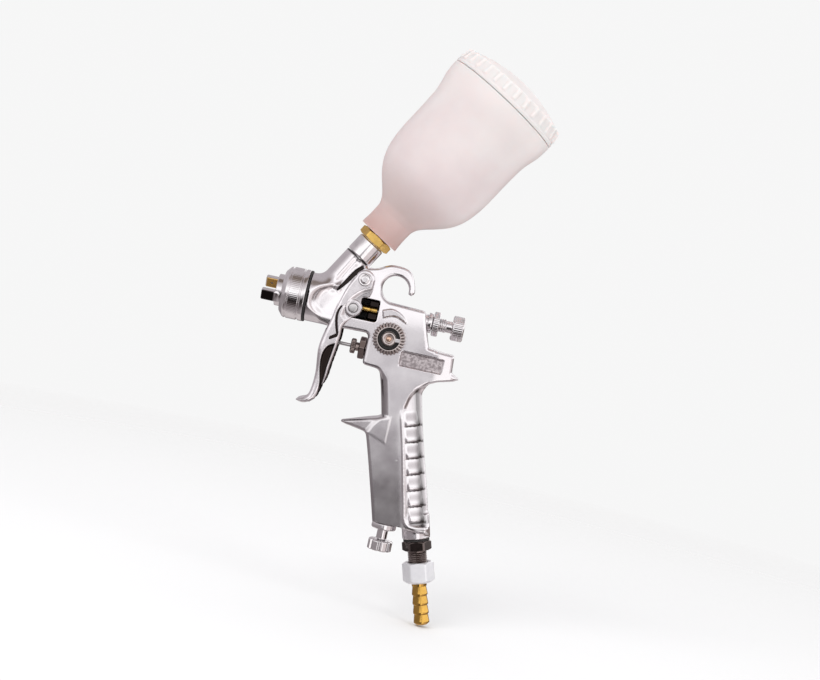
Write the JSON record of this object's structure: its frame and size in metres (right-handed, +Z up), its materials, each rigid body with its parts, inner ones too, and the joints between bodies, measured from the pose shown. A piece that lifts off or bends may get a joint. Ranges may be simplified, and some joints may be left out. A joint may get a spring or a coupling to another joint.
{
  "type": "gravity feed spray gun",
  "caption": "Small gravity-feed spray gun with a tilted milky plastic cup, hook, curved trigger, side and rear knobs, ribbed pistol grip and a barbed hose tail.",
  "frame": {"origin": "centre of the air cap's front face, on the spray axis", "axes": "+X back along the fluid needle, away from the spray; +Z up; -Y is the side with the fan knob"},
  "size_m": [0.1268, 0.0632, 0.286],
  "materials": {
    "cast_body": "satin polished casting with a faint warm grey tone",
    "chrome_plate": "bright plated turned and pressed metal",
    "steel": "ground stainless steel",
    "brass": "turned brass, slightly dulled",
    "black_seal": "black sealing rubber and nylon",
    "white_packing": "white packing plastic",
    "milky_nylon": "milky translucent moulded nylon"
  },
  "bodies": {
    "gun": {"gun_body": "cast_body", "retaining_ring": "chrome_plate", "fluid_guide": "chrome_plate", "guide_lock_nut": "chrome_plate", "pivot_screw": "chrome_plate", "pivot_nut": "chrome_plate", "air_valve_gland": "chrome_plate", "valve_packing_screw": "chrome_plate", "air_adjust_guide": "chrome_plate", "air_nipple": "chrome_plate", "hose_nut": "chrome_plate", "cup_joint": "chrome_plate", "fluid_nozzle": "steel", "needle_spring": "steel", "air_valve_spring": "steel", "packing_gland": "brass", "fan_bush": "brass", "hose_tail": "brass", "cup_lock_nut": "brass", "head_gasket": "black_seal", "nipple_washer": "black_seal", "needle_packing": "white_packing", "valve_packing": "white_packing", "cup": "milky_nylon", "cup_strainer": "milky_nylon"},
    "air_cap": {"air_cap": "chrome_plate"},
    "trigger": {"trigger": "chrome_plate"},
    "trigger_barrel": {"trigger_barrel": "steel"},
    "needle": {"fluid_needle": "steel", "needle_collar": "brass"},
    "air_valve": {"air_valve_stem": "steel", "air_valve_poppet": "brass"},
    "spring_button": {"spring_button": "brass"},
    "fluid_knob": {"fluid_knob": "chrome_plate"},
    "fan_knob": {"fan_knob": "chrome_plate", "fan_screw": "brass", "fan_spindle": "steel"},
    "adjust_seal": {"air_adjust_seal": "black_seal"},
    "adjust_knob": {"air_adjust_stem": "chrome_plate", "air_adjust_knob": "chrome_plate"},
    "lid": {"cup_lid": "milky_nylon"}
  },
  "joints": [
    {"name": "air_cap_turn", "type": "hinge", "parent": "gun", "child": "air_cap", "pos_m": [0, 0, 0], "axis": [-1, 0, 0], "continuous": true},
    {"name": "trigger_pull", "type": "hinge", "parent": "gun", "child": "trigger", "pos_m": [0.0425, 0, 0.0143], "axis": [0, -1, 0], "range_deg": [0, 11], "stiffness_Nm_per_rad": 1, "springref_deg": -11.46},
    {"name": "barrel_turn", "type": "hinge", "parent": "trigger", "child": "trigger_barrel", "pos_m": [0.0397, 0, -0.0006], "axis": [0, -1, 0], "range_deg": [-11.5, 0.5]},
    {"name": "needle_slide", "type": "slide", "parent": "gun", "child": "needle", "axis": [1, 0, 0], "range_m": [-0.0001, 0.003], "deforming": ["needle_spring"]},
    {"name": "air_valve_slide", "type": "slide", "parent": "gun", "child": "air_valve", "axis": [1, 0, 0], "range_m": [-0.0001, 0.0068], "deforming": ["air_valve_spring"]},
    {"name": "knob_travel", "type": "slide", "parent": "gun", "child": "spring_button", "axis": [1, 0, 0], "range_m": [-0.001, 0.002]},
    {"name": "fluid_knob_turn", "type": "hinge", "parent": "spring_button", "child": "fluid_knob", "pos_m": [0.09, 0, 0], "axis": [1, 0, 0], "range_deg": [-362, 722]},
    {"name": "fan_knob_turn", "type": "hinge", "parent": "gun", "child": "fan_knob", "pos_m": [0.0603, 0, -0.0117], "axis": [0, -1, 0], "range_deg": [0, 120]},
    {"name": "adjust_travel", "type": "slide", "parent": "gun", "child": "adjust_seal", "axis": [0, 0, -1], "range_m": [-0.0005, 0.002]},
    {"name": "air_adjust_turn", "type": "hinge", "parent": "adjust_seal", "child": "adjust_knob", "pos_m": [0.0776, 0, -0.1025], "axis": [0, 0, -1], "range_deg": [-182, 722]},
    {"name": "lid_lift", "type": "slide", "parent": "gun", "child": "lid", "axis": [0.515, 0, 0.8572], "range_m": [0, 0.03]}
  ],
  "couplings": [
    {"joint": "barrel_turn", "follows": "trigger_pull", "ratio": -1},
    {"joint": "needle_slide", "follows": "trigger_pull", "m_per_rad": 0.0152},
    {"joint": "air_valve_slide", "follows": "trigger_pull", "m_per_rad": 0.0344},
    {"joint": "fluid_knob_turn", "follows": "knob_travel", "rad_per_m": 6283.2},
    {"joint": "air_adjust_turn", "follows": "adjust_travel", "rad_per_m": 6283.2}
  ]
}
